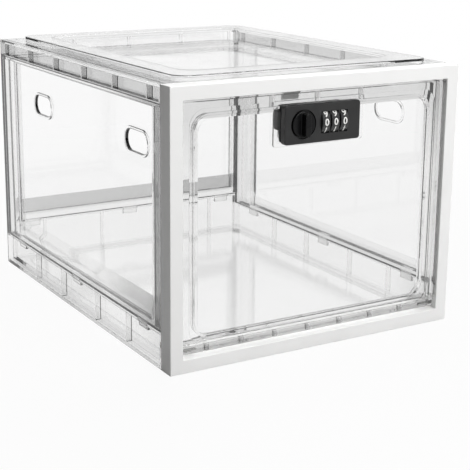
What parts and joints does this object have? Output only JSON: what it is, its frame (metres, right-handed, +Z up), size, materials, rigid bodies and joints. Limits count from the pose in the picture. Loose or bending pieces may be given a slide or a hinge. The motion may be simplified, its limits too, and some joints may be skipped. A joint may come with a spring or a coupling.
{
  "type": "combination lock box",
  "caption": "Clear stackable storage box with a white front frame, a drop-down clear door and a black number-wheel lock with a turn knob.",
  "frame": {"origin": "centre of the whole box's footprint, knob grip included, on the surface it stands on", "axes": "+Z up, +X to the right seen from the front, the door faces -Y"},
  "size_m": [0.28, 0.3676, 0.2345],
  "materials": {
    "clear_plastic": "clear glossy moulded plastic",
    "white_plastic": "satin white moulded plastic",
    "black_plastic": "fine satin black",
    "wheel_plastic": "black with white digits",
    "steel": "bright zinc-plated steel"
  },
  "bodies": {
    "case": {"front_frame": "white_plastic", "base_tray": "clear_plastic", "left_panel": "clear_plastic", "right_panel": "clear_plastic", "back_panel": "clear_plastic", "lid": "clear_plastic"},
    "door": {"door": "clear_plastic", "hinge_pin_left": "steel", "hinge_pin_right": "steel", "lock_face": "black_plastic", "lock_case": "black_plastic", "lock_back_plate": "steel", "case_screws": "steel", "mount_screws": "steel", "wheel_axle": "steel", "detent_spring": "steel"},
    "knob": {"knob": "black_plastic", "spindle": "steel", "cam": "steel", "cam_washer": "steel", "cam_screw": "steel"},
    "wheel_left": {"wheel_left": "wheel_plastic"},
    "wheel_middle": {"wheel_middle": "wheel_plastic"},
    "wheel_right": {"wheel_right": "wheel_plastic"},
    "locking_bar": {"locking_bar": "steel"}
  },
  "joints": [
    {"name": "door_hinge", "type": "hinge", "parent": "case", "child": "door", "pos_m": [0, -0.16725, 0.0162], "axis": [1, 0, 0], "range_deg": [0, 88]},
    {"name": "knob_turn", "type": "hinge", "parent": "door", "child": "knob", "pos_m": [-0.019, -0.17625, 0.1915], "axis": [0, -1, 0], "range_deg": [0, 90]},
    {"name": "wheel_left_spin", "type": "hinge", "parent": "door", "child": "wheel_left", "pos_m": [0.002, -0.16745, 0.1915], "axis": [1, 0, 0], "continuous": true},
    {"name": "wheel_middle_spin", "type": "hinge", "parent": "door", "child": "wheel_middle", "pos_m": [0.011, -0.16745, 0.1915], "axis": [1, 0, 0], "continuous": true},
    {"name": "wheel_right_spin", "type": "hinge", "parent": "door", "child": "wheel_right", "pos_m": [0.02, -0.16745, 0.1915], "axis": [1, 0, 0], "continuous": true},
    {"name": "locking_bar_slide", "type": "slide", "parent": "door", "child": "locking_bar", "axis": [1, 0, 0], "range_m": [0, 0.0015]}
  ],
  "couplings": [
    {"joint": "locking_bar_slide", "follows": "knob_turn", "m_per_rad": 0.00095}
  ]
}
